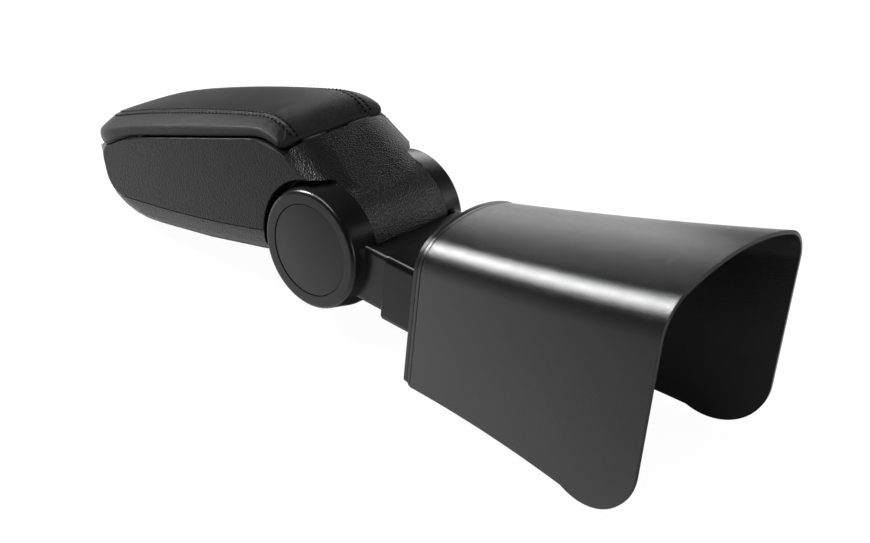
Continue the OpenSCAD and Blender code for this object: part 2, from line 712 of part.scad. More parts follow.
// Moulded base that carries the padding, with two knuckles for the hinge pins
base_in = 4;
module lid_base() {
    color([0.11, 0.11, 0.115]) on_arm() difference() {
        union() {
            intersection() {
                linear_extrude(2 * rim_z) lid_plan(base_in);
                sideways(lid_w) band(lid_low, lid_low + base_t, lid_rear);
            }
            for (y = knuckles) at_hinge() {
                bar(knuckle_r, y - knuckle_w / 2, y + knuckle_w / 2);
            }
            intersection() {
                for (y = knuckles) translate([hinge_x - web_len, y - knuckle_w / 2, 0]) cube([web_len, knuckle_w, 2 * rim_z]);
                sideways(lid_w) band(lid_low, lid_low + base_t, hinge_x - knuckle_r / 2);
            }
        }
        at_hinge() bar(pin_r + 0.04, -lid_w, lid_w);
        at_trim_screws(lid_low - 1, base_t + 0.5, screw_s);
        at_magnet(magnet_r + fit / 2);
    }
}
// Room that the webs of the knuckles need in the padding's rear edge
web_len = 10;
module knuckle_room() {
    w = knuckle_w + 4 * fit;
    for (y = knuckles) at_hinge() translate([-web_len - 1, y - w / 2, -web_len])
        cube([web_len + 4, w, web_len + knuckle_r + 2 * fit]);
}
module lid_foam() {
    color([0.55, 0.53, 0.45]) on_arm() difference() {
        strip_skin(lid_skin(cover_t + 6 * fit));
        sideways(lid_w + 20) band(0, lid_low + base_t + fit, lid_rear + 1);
        knuckle_room();
    }
}
module lid_cover() {
    color([0.06, 0.06, 0.065]) on_arm() difference() {
        strip_skin(concat(turned(lid_skin(cover_t)), lid_skin(0)));
        knuckle_room();
    }
}

// Inner trim that covers the edge of the leather, held by four screws
trim_t = 1.6;
screw_s = 1.5;
trim_in = 3;
trim_front = dip_from + 3;
trim_edge = 10;
module at_trim_screws(z, h, r) {
    for (x = [trim_front + trim_edge, liner_rear - trim_in - trim_edge], s = [-1, 1])
        translate([x, s * (liner_half - trim_in - trim_edge), z]) cylinder(h = h, r = r, $fn = 32);
}
module lid_trim() {
    color([0.16, 0.16, 0.165]) on_arm() difference() {
        translate([0, 0, lid_low - trim_t]) linear_extrude(trim_t) liner_plan(trim_in);
        at_trim_screws(lid_low - trim_t - 1, trim_t + 2, screw_s + fit / 2);
        translate([far_front, -box_w / 2, 0]) cube([trim_front - far_front, box_w, 2 * rim_z]);
    }
}
module lid_screws() {
    color(steel) on_arm() {
        at_trim_screws(lid_low - trim_t, trim_t + base_t - 1, screw_s);
        at_trim_screws(lid_low - trim_t - 1.2, 1.2, screw_s * 2);
    }
}

// Magnet under the lid's nose and the steel plate on the box that it holds
module catch_magnet() {
    color([0.5, 0.5, 0.52]) on_arm() at_magnet(magnet_r);
}
module at_magnet(r) { translate([magnet_x, 0, magnet_z - magnet_t]) cylinder(h = magnet_t, r = r, $fn = 48); }
module striker_plate() {
    color(steel) on_arm() translate([striker_x, -striker_w / 2, striker_z]) cube([striker_len, striker_w, striker_t]);
}

// Rubber buttons on the liner's flange that the lid closes on
bumper_r = 3;
bumper_gap = 0.3;
module lid_bumpers() {
    color([0.1, 0.1, 0.1]) on_arm() for (x = [dip_from + 2 * bumper_r, liner_rear - 2 * bumper_r], s = [-1, 1])
        translate([x, s * (lid_w / 2 - base_in - bumper_r - 2), flange_top])
            cylinder(h = lid_low - bumper_gap - flange_top, r = bumper_r, $fn = 48);
}

saddle_shell();
front_plate();
mount_bracket();
seat_pad();
neck_bolts();
neck_sleeve();
yoke();
pivot_bolt();
pivot_nut();
disc_spring();
left_cap();
right_cap();
left_friction_washer();
right_friction_washer();
arm_shell();
left_bush();
right_bush();
left_side_panel();
right_side_panel();
storage_liner();
felt_mat();
lid_base();
lid_foam();
lid_cover();
lid_bumpers();
striker_plate();
lid_hinge_pins();
stop_pin();
lid_trim();
lid_screws();
catch_magnet();
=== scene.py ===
import math

import bpy
import numpy as np
from mathutils import Matrix, Vector
from mathutils.bvhtree import BVHTree


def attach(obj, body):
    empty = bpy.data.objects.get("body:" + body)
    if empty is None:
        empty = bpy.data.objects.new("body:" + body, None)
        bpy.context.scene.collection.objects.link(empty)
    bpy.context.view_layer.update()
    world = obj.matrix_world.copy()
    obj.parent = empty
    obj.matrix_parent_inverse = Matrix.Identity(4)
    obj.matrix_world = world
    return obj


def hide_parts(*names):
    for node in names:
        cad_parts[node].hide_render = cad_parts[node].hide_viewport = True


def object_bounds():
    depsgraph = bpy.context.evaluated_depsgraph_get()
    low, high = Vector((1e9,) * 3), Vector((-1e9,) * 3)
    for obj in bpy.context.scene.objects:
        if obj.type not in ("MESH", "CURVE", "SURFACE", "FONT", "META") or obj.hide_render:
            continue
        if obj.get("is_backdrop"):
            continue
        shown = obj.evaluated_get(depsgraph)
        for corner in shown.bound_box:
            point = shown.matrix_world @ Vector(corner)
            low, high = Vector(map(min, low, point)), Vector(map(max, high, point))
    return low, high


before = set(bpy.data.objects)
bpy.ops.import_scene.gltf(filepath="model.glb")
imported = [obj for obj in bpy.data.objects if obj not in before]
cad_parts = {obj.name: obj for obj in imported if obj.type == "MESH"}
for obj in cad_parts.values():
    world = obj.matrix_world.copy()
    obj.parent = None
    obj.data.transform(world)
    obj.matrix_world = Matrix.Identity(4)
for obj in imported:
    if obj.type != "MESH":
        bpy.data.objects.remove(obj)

cad_low, cad_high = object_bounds()
scene = bpy.context.scene
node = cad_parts


# Sweep: the armrest stands on matt white paper, as in a product photograph.
# The paper's colour is painted greyer towards the camera's side. This is painted shade for light that falls
# off away from the armrest, and the hood's near sides reflect it. The paper keeps a faint shadow of the
# hood.
def fill_sockets(shader_node, values):
    """Sets sockets by their names; an underscore stands for a space."""
    for socket, value in values.items():
        shader_node.inputs[socket.replace("_", " ")].default_value = value


def fitted(tree, kind, **values):
    """A new node in a material or in the room's light, with its sockets set."""
    shader_node = tree.nodes.new("ShaderNode" + kind)
    fill_sockets(shader_node, values)
    return shader_node


def principled(name, colour, roughness, **sockets):
    """A plain finish to build on: the material, its node tree and its shader."""
    material = bpy.data.materials.new(name)
    material.use_nodes = True
    shader = material.node_tree.nodes["Principled BSDF"]
    fill_sockets(shader, {"Base Color": (*colour, 1), "Roughness": roughness, **sockets})
    return material, material.node_tree, shader


sweep_half, sweep_gap = 6.0, 0.0005
sweep_near_y, sweep_far_y = -0.42, -0.1
painted_shade_near, painted_shade_far = 0.1, 0.72
glow_strength, glow_share = 1.1, 0.88

sweep_mesh = bpy.data.meshes.new("sweep")
sweep_mesh.from_pydata([(i * sweep_half, j * sweep_half, cad_low.z - sweep_gap)
                        for i, j in ((-1, -1), (1, -1), (1, 1), (-1, 1))], [], [(0, 1, 2, 3)])
sweep = bpy.data.objects.new("sweep", sweep_mesh)
scene.collection.objects.link(sweep)
sweep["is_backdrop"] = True
sweep_white, tree, shader = principled("sweep_white", (0.8, 0.8, 0.8), roughness=0.9)
paper_glow = fitted(tree, "Emission", Color=(1, 1, 1, 1), Strength=glow_strength)
seen = fitted(tree, "LightPath")
glow_seen = fitted(tree, "Math")
glow_seen.operation = "MULTIPLY"
glow_seen.inputs[1].default_value = glow_share
mixed = fitted(tree, "MixShader")
tree.links.new(seen.outputs["Is Camera Ray"], glow_seen.inputs[0])
tree.links.new(glow_seen.outputs[0], mixed.inputs[0])
tree.links.new(shader.outputs[0], mixed.inputs[1])
tree.links.new(paper_glow.outputs[0], mixed.inputs[2])
tree.links.new(mixed.outputs[0], tree.nodes["Material Output"].inputs[0])
whereabouts = fitted(tree, "TexCoord")
parted = fitted(tree, "SeparateXYZ")
# Painted shade: the paper's colour is darker towards the camera, for light that falls off there.
shade = fitted(tree, "MapRange", From_Min=sweep_near_y, From_Max=sweep_far_y,
               To_Min=painted_shade_near, To_Max=painted_shade_far)
tree.links.new(whereabouts.outputs["Object"], parted.inputs[0])
tree.links.new(parted.outputs["Y"], shade.inputs["Value"])
tree.links.new(shade.outputs[0], shader.inputs["Base Color"])
sweep_mesh.materials.append(sweep_white)

# Studio light: a dim room, a strong softbox high in front of the armrest's nose, an edge light over
# the near side and a weak strip behind the hood's open end. On the far side a small low card lights
# the hood's crown, and a broad one lights what is seen from behind.
room_light, backdrop_light = 0.03, 1.0
room = bpy.data.worlds.new("studio_room")
scene.world = room
room.use_nodes = True
room_tree = room.node_tree
backdrop = room_tree.nodes["Background"]
backdrop.inputs["Color"].default_value = (1, 1, 1, 1)
glimpse = fitted(room_tree, "LightPath")
level = fitted(room_tree, "MapRange", To_Min=room_light, To_Max=backdrop_light)
room_tree.links.new(glimpse.outputs["Is Camera Ray"], level.inputs["Value"])
room_tree.links.new(level.outputs[0], backdrop.inputs["Strength"])


def softbox(name, toward, distance, width, height, watts, aim=(-0.1, 0.0, -0.02)):
    """A flat lamp that faces its aim, at a distance from it in the direction given."""
    lamp = bpy.data.lights.new(name, "AREA")
    lamp.shape = "RECTANGLE"
    lamp.size, lamp.size_y, lamp.energy = width, height, watts
    light = bpy.data.objects.new(name, lamp)
    light.location = Vector(aim) + Vector(toward).normalized() * distance
    light.rotation_euler = (Vector(aim) - light.location).to_track_quat("-Z", "Y").to_euler()
    scene.collection.objects.link(light)


softbox("left_softbox", (-0.84, -0.24, 0.52), distance=1.6, width=0.42, height=0.42, watts=37,
        aim=(0.05, 0, 0))
softbox("edge_light", (-0.3, -0.49, 0.82), distance=1.2, width=0.8, height=0.25, watts=9)
softbox("right_strip", (0.93, -0.24, 0.1), distance=1.3, width=0.12, height=0.8, watts=4)
softbox("hood_card", (-0.72, 0.69, 0.1), distance=0.65, width=0.42, height=0.13, watts=0.55,
        aim=(0.06, 0, 0.06))
softbox("rear_card", (0.6, 0.66, 0.38), distance=1.5, width=1.3, height=0.9, watts=7.5)

# Camera: it stands above and behind the armrest's near side and looks down its length, with a long
# lens. Its place and its three directions are real ones, in metres, worked out from the photograph.
camera_place = (0.66547, -0.93215, 0.61175)
camera_right, camera_up = Vector((0.7455, 0.6605, 0.0898)), Vector((-0.3792, 0.3095, 0.8720))
camera_back = Vector((0.5481, -0.6841, 0.4812))
camera_data = bpy.data.cameras.new("photo_camera")
camera_data.sensor_width, camera_data.lens = 36, 69.33
camera_data.clip_start, camera_data.clip_end = 0.05, 50
camera = bpy.data.objects.new("photo_camera", camera_data)
scene.collection.objects.link(camera)
turned = Matrix((camera_right, camera_up, camera_back)).transposed()
camera.matrix_world = Matrix.Translation(camera_place) @ turned.to_4x4()
scene.camera = camera
scene.view_settings.view_transform = "Standard"

# Hood: one thin ABS moulding, an arch that widens and rises to its open end and stands over the
# car's console. It has a very fine satin grain, softly rounded edges and a fine groove round its
# front, just behind the edge that is glued to the front plate.

# The numbers of the vector sockets on a Mix node and on a Map Range node
mix_a, mix_b, mix_result = 4, 5, 1
range_in, range_low, range_high, range_result = 6, 9, 10, 1


def bent_place(tree, place, noise, bend):
    """The place on a piece, pushed about a little by a noise, so that its cells are uneven."""
    bent = fitted(tree, "Mix")
    bent.data_type = "VECTOR"
    bent.inputs["Factor"].default_value = bend
    tree.links.new(place, bent.inputs[mix_a])
    tree.links.new(noise.outputs["Color"], bent.inputs[mix_b])
    return bent.outputs[mix_result]


def bumped(tree, shader, height, depth):
    """Gives the finish its relief, in metres."""
    bump = fitted(tree, "Bump", Distance=depth)
    tree.links.new(height, bump.inputs["Height"])
    tree.links.new(bump.outputs[0], shader.inputs["Normal"])


def patchy_gloss(tree, shader, place, scale, detail, glossiest, dullest):
    """Gloss that wanders between two roughnesses in soft patches, which it gives back."""
    patches = fitted(tree, "TexNoise", Scale=scale, Detail=detail)
    gloss = fitted(tree, "MapRange", To_Min=glossiest, To_Max=dullest)
    tree.links.new(place, patches.inputs["Vector"])
    tree.links.new(patches.outputs[0], gloss.inputs["Value"])
    tree.links.new(gloss.outputs[0], shader.inputs["Roughness"])
    return patches.outputs[0]


def grained(name, colour, roughness, grain, depth, spots=0.25, cells=False, **sockets):
    """A grained finish: its grain's size and depth in metres, and spots for how uneven the gloss
    is. With cells, the grain has the round pebbles that are etched into a mould."""
    fine_detail, fine_rough, fine_share = 3, 0.6, 0.35
    cell_scale, cell_smooth, cell_bend = 0.8 / grain, 0.35, 6e-7 / grain
    patch_scale, patch_detail, darkest, lightest = 22, 4, 0.8, 1.25
    material, tree, shader = principled(name, colour, roughness, **sockets)
    place = fitted(tree, "TexCoord").outputs["Object"]
    fine = fitted(tree, "TexNoise", Scale=1 / grain, Detail=fine_detail, Roughness=fine_rough)
    tree.links.new(place, fine.inputs["Vector"])
    height = fine.outputs[0]
    if cells:
        pebbles = fitted(tree, "TexVoronoi", Scale=cell_scale)
        pebbles.feature = "SMOOTH_F1"
        pebbles.inputs["Smoothness"].default_value = cell_smooth
        tree.links.new(bent_place(tree, place, fine, cell_bend), pebbles.inputs["Vector"])
        both = fitted(tree, "Math")
        both.operation = "MULTIPLY_ADD"
        both.inputs[1].default_value = fine_share
        tree.links.new(height, both.inputs[0])
        tree.links.new(pebbles.outputs["Distance"], both.inputs[2])
        height = both.outputs[0]
    bumped(tree, shader, height, depth)
    patches = patchy_gloss(tree, shader, place, patch_scale, patch_detail,
                           roughness * (1 - spots), roughness * (1 + spots))
    tint = fitted(tree, "MapRange")
    tint.data_type = "FLOAT_VECTOR"
    tint.inputs[range_low].default_value = [c * darkest for c in colour]
    tint.inputs[range_high].default_value = [c * lightest for c in colour]
    tree.links.new(patches, tint.inputs[range_in])
    tree.links.new(tint.outputs[range_result], shader.inputs["Base Color"])
    return material


def made(name, points, faces, body, material, *stands_for):
    """A smooth-shaded piece from points in metres in the row frame, riding on a body."""
    mesh = bpy.data.meshes.new(name)
    mesh.from_pydata([tuple(p) for p in points], [], faces)
    mesh.polygons.foreach_set("use_smooth", [True] * len(mesh.polygons))
    mesh.materials.append(material)
    piece = bpy.data.objects.new(name, mesh)
    scene.collection.objects.link(piece)
    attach(piece, body)
    if stands_for:
        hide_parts(*stands_for)
    return piece


def even_shading(piece):
    """Keeps the flat faces flat beside their rounded edges."""
    even = piece.modifiers.new("even_shading", "WEIGHTED_NORMAL")
    even.weight = 100


def soft_edges(piece, width, angle, segments=3):
    """Small rounded edges, which every moulded or folded piece has."""
    edge = piece.modifiers.new("soft_edges", "BEVEL")
    edge.limit_method, edge.angle_limit = "ANGLE", math.radians(angle)
    edge.width, edge.segments = width, segments
    even_shading(piece)


# In millimetres from the tilt hinge. A pair is a size at the hood's front and at its open end.
seat_x, seat_z = 160.5, 35.0
hood_x, hood_len, hood_wall = 112.9, 235.0, 3.0
hood_half, hood_top, hood_sag = (63.5, 91.0), (61.8, 129.0), 0.12
crown_r, shoulder_r = (122.0, 216.0), (29.0, 33.5)
# The lower edge: how far it drops, its small front corner, its upward bow and its round rear lobe
drop_front, drop_rear, front_corner, edge_bow, lobe_r = 75.0, 72.5, 5.0, 3.0, 48.5
lobe_start, edge_steps, lobe_steps = math.radians(250), 34, 34
# The groove's depth at distances from the front, and where the mesh has its first rows of points
groove_at, groove_dip = (0, 3.0, 3.35, 3.65, 4.0, 5.0), (0, 0, 0.8, 0.8, 0, 0)
front_steps = (0, 0.15, 0.4, 0.8, 1.3, 1.9, 2.5, 3.0, 3.35, 3.65, 4.0, 4.4, 5.0)


def mm(points):
    """From millimetres about the tilt hinge to the row frame in metres."""
    return (np.asarray(points, float) - (seat_x, 0, seat_z)) / 1000


def between(pair, t):
    """A size that grows evenly from the first value to the second."""
    return pair[0] + (pair[1] - pair[0]) * t


def hood_section(t, low, walls=16, shoulder=14, crown=16, crowding=0.8):
    """The arch at a share t of the hood's length, from its near lower edge over to the far one."""
    dip = np.interp(t * hood_len, groove_at, groove_dip)
    half, rc, rs = between(hood_half, t) - dip, between(crown_r, t) - dip, between(shoulder_r, t) - dip
    top = between(hood_top, t - hood_sag * t * (1 - t)) - dip
    centre, y = top - rc, half - rs
    z = centre + math.sqrt((rc - rs) ** 2 - y * y)
    joint = math.atan2(z - centre, y)
    side = [(half, low + (z - low) * (i / walls) ** crowding) for i in range(walls)]
    side += [(y + rs * math.cos(a), z + rs * math.sin(a)) for a in np.linspace(0, joint, shoulder)[:-1]]
    side += [(rc * math.cos(a), centre + rc * math.sin(a)) for a in np.linspace(joint, math.pi / 2, crown)]
    return side + [(-across, up) for across, up in side[-2::-1]]


front_edge = [(hood_x + d, -drop_front + front_corner * (1 - math.sqrt(1 - (1 - d / front_corner) ** 2)))
              for d in front_steps]
lobe_x, lobe_z = hood_x + hood_len - lobe_r, lobe_r - drop_rear
lobe_edge = [(lobe_x + lobe_r * math.cos(a), lobe_z + lobe_r * math.sin(a))
             for a in np.linspace(lobe_start, 2 * math.pi, lobe_steps)]
(edge_x, edge_z), (lobe_start_x, lobe_start_z) = front_edge[-1], lobe_edge[0]
bowed_edge = []
for k in range(1, edge_steps):
    t = k / edge_steps
    bow = 4 * edge_bow * t * (1 - t)
    bowed_edge.append((between((edge_x, lobe_start_x), t), between((edge_z, lobe_start_z), t) + bow))
lower_edge = front_edge + bowed_edge + lobe_edge
hood_points = []
for x, low in lower_edge:
    hood_points += [(x, y, z) for y, z in hood_section((x - hood_x) / hood_len, low)]
rows = len(hood_points) // len(lower_edge)
hood_faces = [(c * rows + r, c * rows + r + 1, (c + 1) * rows + r + 1, (c + 1) * rows + r)
              for c in range(len(lower_edge) - 1) for r in range(rows - 1)]
hood_black = grained("hood_satin_black", (0.008, 0.008, 0.0084), roughness=0.2, grain=0.0011,
                     depth=0.00028, spots=0.12)
hood = made("moulded_hood", mm(hood_points), hood_faces, "base", hood_black, "saddle_shell")
wall = hood.modifiers.new("wall", "SOLIDIFY")
wall.thickness, wall.offset, wall.use_even_offset = hood_wall / 1000, -1, True
soft_edges(hood, 0.0011, angle=75)


# Front plate: a flat ABS moulding that closes the hood's front, in the same satin black. The hood is
# glued round its rim, and the four screws of the neck clamp it to the bracket behind it.
def dress(name, material, edge=0.0, angle=35, segments=3):
    """A CAD piece with its finish: triangles merged into flat faces and its edges softened."""
    piece = node[name]
    mesh = piece.data
    if "custom_normal" in mesh.attributes:
        mesh.attributes.remove(mesh.attributes["custom_normal"])
    mesh.materials.clear()
    mesh.materials.append(material)
    mesh.polygons.foreach_set("use_smooth", [True] * len(mesh.polygons))
    weld = piece.modifiers.new("weld", "WELD")
    weld.merge_threshold = 0.00001
    flat = piece.modifiers.new("flat_faces", "DECIMATE")
    flat.decimate_type, flat.angle_limit = "DISSOLVE", math.radians(0.8)
    if edge:
        soft_edges(piece, edge, angle, segments)
    else:
        even_shading(piece)


plate_black = grained("plate_satin_black", (0.009, 0.009, 0.0094), roughness=0.3, grain=0.0011,
                      depth=0.00025, spots=0.12)
dress("front_plate", plate_black, edge=0.001)

# Bracket, pad and screws: a folded steel bracket with a black coat stands on a rubber pad on the
# console, and four zinc plated socket screws clamp it, the plate and the neck together.
coated_steel = grained("coated_bracket_steel", (0.03, 0.03, 0.031), roughness=0.45, grain=0.0009,
                       depth=0.00003, Metallic=0.35)
zinc_steel = grained("zinc_plated_steel", (0.55, 0.56, 0.58), roughness=0.32, grain=0.0006,
                     depth=0.00001, spots=0.3, Metallic=1.0)
pad_rubber = grained("pad_rubber", (0.018, 0.018, 0.018), roughness=0.75, grain=0.0008, depth=0.00005)
dress("mount_bracket", coated_steel, edge=0.0004)
dress("seat_pad", pad_rubber, edge=0.0003)
dress("neck_bolts", zinc_steel, edge=0.0002)

# Neck and hinge drums: the yoke is one hollow ABS moulding, smooth and satin black, with a round
# domed cap pressed into each drum. The sleeve is a separate glossy trim, pushed over the neck
# before the front plate is screwed on.
drum_black = grained("drum_satin_black", (0.006, 0.006, 0.0064), roughness=0.25, grain=0.0012,
                     depth=0.00003, spots=0.15, Specular_IOR_Level=0.32)
sleeve_gloss = grained("sleeve_gloss_black", (0.004, 0.004, 0.0042), roughness=0.16, grain=0.0014,
                       depth=0.00001, spots=0.2, Specular_IOR_Level=0.28)
dress("yoke", drum_black, edge=0.0006, angle=30)
dress("neck_sleeve", sleeve_gloss, edge=0.0011)
for name in ("left_cap", "right_cap"):
    dress(name, drum_black, edge=0.0004, angle=30)

# Hinge: a steel bolt through both drums turns in two acetal bushes. A disc spring presses two
# brown friction washers on the barrel's ends, so the arm stays where it is put.
acetal = grained("natural_acetal", (0.62, 0.59, 0.5), roughness=0.4, grain=0.001, depth=0.00001)
friction_brown = grained("friction_lining", (0.18, 0.12, 0.07), roughness=0.7, grain=0.0007, depth=0.00006)
for name in ("pivot_bolt", "pivot_nut", "disc_spring", "stop_pin", "lid_hinge_pins"):
    dress(name, zinc_steel, edge=0.0002)
for name in ("left_bush", "right_bush"):
    dress(name, acetal)
for name in ("left_friction_washer", "right_friction_washer"):
    dress(name, friction_brown)

# Arm box: a moulded ABS box with its barrel at the rear, in a coarse pebble grain that sparkles
# where the light grazes it.
box_black = grained("box_grained_black", (0.006, 0.006, 0.0064), roughness=0.31, grain=0.0011,
                    depth=0.00045, spots=0.2, cells=True, Specular_IOR_Level=0.4)
dress("arm_shell", box_black, edge=0.0007, angle=38)

# Side panels: separate ABS mouldings with a leather grain, one on each side.
# They are set flush into shallow seats in the box's sides.
panel_black = grained("panel_leather_grain", (0.004, 0.004, 0.0042), roughness=0.3, grain=0.0011,
                      depth=0.00034, spots=0.2, cells=True, Specular_IOR_Level=0.2)
for name in ("left_side_panel", "right_side_panel"):
    dress(name, panel_black, edge=0.0012, angle=40, segments=4)

# Storage tub: a thin matt liner hangs by its flange on the box's rim, with a felt mat on its floor
# and rubber buttons on its flange that the lid closes on. The catch's steel plate lies on a shelf
# behind the nose, and the lid's inner trim is moulded in the same matt black as the liner.
liner_black = grained("liner_matt_black", (0.024, 0.024, 0.025), roughness=0.55, grain=0.0006, depth=0.00005)
felt_black = grained("felt_fibres", (0.03, 0.03, 0.032), roughness=0.95, grain=0.0012, depth=0.0004,
                     Sheen_Weight=0.4)
dress("storage_liner", liner_black, edge=0.0005)
dress("lid_trim", liner_black, edge=0.0004)
dress("felt_mat", felt_black)
dress("lid_bumpers", pad_rubber, edge=0.0003)
dress("striker_plate", zinc_steel, edge=0.0002)

# Lid base, screws and magnet: the moulded board that carries the padding, the screws that hold the
# inner trim to it, and the ferrite magnet of the catch under its nose.
lid_board = grained("lid_board_black", (0.02, 0.02, 0.021), roughness=0.5, grain=0.0007, depth=0.00005)
ferrite = grained("ferrite", (0.05, 0.05, 0.052), roughness=0.45, grain=0.0006, depth=0.00002, Metallic=0.3)
dress("lid_base", lid_board, edge=0.0005)
dress("lid_screws", zinc_steel, edge=0.00015)
dress("catch_magnet", ferrite, edge=0.0002)

# Lid cushion: foam under black grained leather, pulled down over the board. A felled seam with a
# row of stitches on each side runs up from the rear, round the nose and back.
# In millimetres in the box's level frame. The lid's rear leans back by a share of the inset, its
# nose is a squared round, its crown is highest at the peak, and its edge falls off at both ends.
droop = math.radians(19.9)
lid_half, lid_low, lid_rise, lid_rear, rear_lean = 61.2, 92.7, 21.8, -15.8, 0.6
nose_start, nose_reach, nose_power = -230.0, 53.0, 2.9
lid_peak, taper_rear, taper_nose = -160.0, 1.9e-5, 1.8e-5
rear_fall_from, rear_fall_scale = -50, 96
nose_fall_from, nose_fall_over, nose_fall, nose_fall_power = -205, 65, 10, 0.6
seam_inset = 18.0


def on_arm(points):
    """From the box's own level frame, in millimetres, to the row frame at rest."""
    p = np.asarray(points, float)
    c, s = math.cos(droop), math.sin(droop)
    return mm(np.stack([p[..., 0] * c - p[..., 2] * s, p[..., 1], p[..., 0] * s + p[..., 2] * c], -1))


def fall(x, h=0.0):
    """Drop of the lid's edge at its rear and at its nose; h is the share of the lid's height."""
    rear = np.where(x > rear_fall_from, (x - rear_fall_from) ** 2 / rear_fall_scale, 0)
    u = np.clip((nose_fall_from - x) / nose_fall_over, 0, 1)
    return rear + nose_fall * u * u * (3 - 2 * u) * (1 - np.asarray(h) ** nose_fall_power)


def swell(x):
    """Share of its full height that the padding has, which is highest at the lid's peak."""
    d = x - lid_peak
    return 1 - np.where(d > 0, taper_rear, taper_nose) * d * d


# The padding's section, as inset from the edge and height over it: the hem tucked under, the low
# side, the seam's shoulder and the crown. The sides are rounded off closely and the crown widely.
profile = np.array([(3.8, 3.4), (3.8, 0.6), (1.5, 0.0), (0.2, 2.8), (0.0, 6.1), (0.9, 9.2), (6.0, 12.5),
                    (12.0, 16.0), (18.0, 19.0), (25.0, 20.4), (37.0, 21.4), (48.0, 21.75), (60.8, 21.8)])
sample, hem_samples = 0.2, 40
side_round, crown_round, crown_from, crown_over = 0.9, 3.5, 24, 8
arc_at = np.concatenate([[0], np.cumsum(np.hypot(*np.diff(profile, axis=0).T))])
section_at = np.arange(0, arc_at[-1], sample)
section = np.stack([np.interp(section_at, arc_at, profile[:, k]) for k in (0, 1)], -1)


def eased(values, width):
    """A sampled line rounded off by a bell curve of that width, with its two ends kept."""
    reach = int(4 * width / sample)
    kernel = np.exp(-(np.arange(-reach, reach + 1) * sample / width) ** 2 / 2)
    kernel /= kernel.sum()
    before, after = 2 * values[0] - values[reach:0:-1], 2 * values[-1] - values[-2:-reach - 2:-1]
    return np.convolve(np.concatenate([before, values, after]), kernel, "valid")


tight, loose = (np.stack([eased(section[:, k], width) for k in (0, 1)], -1)
                for width in (side_round, crown_round))
crown_share = np.clip((section_at - crown_from) / crown_over, 0, 1)[:, None]
section = tight * (1 - crown_share) + loose * crown_share
outer_inset, outer_height = section[hem_samples:, 0], section[hem_samples:, 1]
seam_at = np.interp(seam_inset, outer_inset, section_at[hem_samples:])

# Rings lie close together at the seam and wider apart over the side and the crown.
seam_step, side_step, crown_step, seam_zone, side_zone = 0.35, 0.8, 2.2, 6, 10
ring_at, at = [], 0.0
while at < section_at[-1]:
    ring_at.append(at)
    on_crown = at >= seam_at + side_zone
    at += seam_step if abs(at - seam_at) < seam_zone else crown_step if on_crown else side_step
ring_inset, ring_height = (np.interp(ring_at, section_at, section[:, k]) for k in (0, 1))

# Along the rear edge the points gather at the seam, from the middle to it and on to the corner.
to_seam = (0, 0.15, 0.3, 0.45, 0.6, 0.7, 0.8, 0.85, 0.89, 0.92, 0.94, 0.955, 0.97, 0.985, 1.0)
past_seam = (0.04, 0.09, 0.15, 0.22, 0.3, 0.4, 0.52, 0.66, 0.82, 1.0)
corner_r, corner_share, seam_room = 5.0, 0.85, 0.6
corner_steps, side_steps, nose_steps, tip_crowding = 8, 44, 42, 1.15
inner_reach, inner_from, inner_slope = 13, 40, 0.61


def nose_curve(reach, half, steps, crowding=1.0):
    """The nose in plan, a squared round from the side to the tip; crowding gathers points there."""
    for i in range(1, steps + 1):
        u = math.pi / 2 * (1 - (i / steps) ** crowding)
        yield (nose_start - reach * math.cos(u) ** (2 / nose_power),
               half * max(0, math.sin(u)) ** (2 / nose_power))


def lid_outline(inset, rear):
    """Half of the lid's plan, from the middle of its rear edge to the tip of its nose."""
    half = lid_half - inset
    seam = min(lid_half - seam_inset, half - seam_room)
    corner = min(corner_r, corner_share * (half - seam))
    points = [(rear, seam * u) for u in to_seam]
    points += [(rear, seam + (half - corner - seam) * u) for u in past_seam]
    points += [(rear - corner * (1 - math.cos(a)), half - corner * (1 - math.sin(a)))
               for a in np.linspace(0, math.pi / 2, corner_steps + 1)[1:]]
    side_x = rear - corner
    points += [(side_x + (nose_start - side_x) * i / side_steps, half) for i in range(1, side_steps + 1)]
    reach = max(nose_reach - inset, inner_reach - inner_slope * (inset - inner_from))
    return points + list(nose_curve(reach, half, nose_steps, tip_crowding))


# Near two edges at once the padding rounds off towards both: the lower of the two heights rules,
# with a soft change from one to the other. The last value of a point is how far it is from the seam.
round_power, side_share, least_share, middle_from, edge_slack = 5.0, 0.3, 0.05, 60, 0.01
lid_rings = []
for inset, height in zip(ring_inset, ring_height):
    rear = lid_rear - rear_lean * inset
    x, y = np.array(lid_outline(inset, rear)).T
    h = np.full(len(x), height / lid_rise)
    if height / lid_rise > side_share:
        other_inset = np.where(x > rear - edge_slack, lid_half - y, (lid_rear - x) / rear_lean)
        other_h = (np.interp(other_inset, outer_inset, outer_height) / lid_rise).clip(least_share)
        lower = (h ** -round_power + other_h ** -round_power - 1) ** (-1 / round_power)
        h = np.where(other_inset > middle_from, h, lower)
    z = lid_low + h * lid_rise * (1 + (swell(x) - 1) * h) - fall(x, h)
    off_seam = np.where(x < nose_start, inset - seam_inset, lid_half - seam_inset - y)
    near_half = np.stack([x, y, z, off_seam], -1)
    lid_rings.append(np.concatenate([near_half, (near_half * (1, -1, 1, 1))[-2:0:-1]]))
lid_grid = np.stack(lid_rings)
ring_count, around = lid_grid.shape[:2]
lid_points = lid_grid[..., :3].reshape(-1, 3)
lid_faces = []
for r in range(ring_count - 1):
    for k in range(around):
        here, beside = r * around + k, r * around + (k + 1) % around
        lid_faces.append((here, beside, beside + around, here + around))
top_ring = (ring_count - 1) * around
for start, order in ((0, -1), (top_ring, 1)):
    for k in range(around // 2):
        a, b = start + k, start + k + 1
        c, d = start + (around - k - 1) % around, start + (around - k) % around
        strip = [a, b] + ([c] if c != b else []) + ([d] if d != a else [])
        lid_faces.append(tuple(strip[::order]))


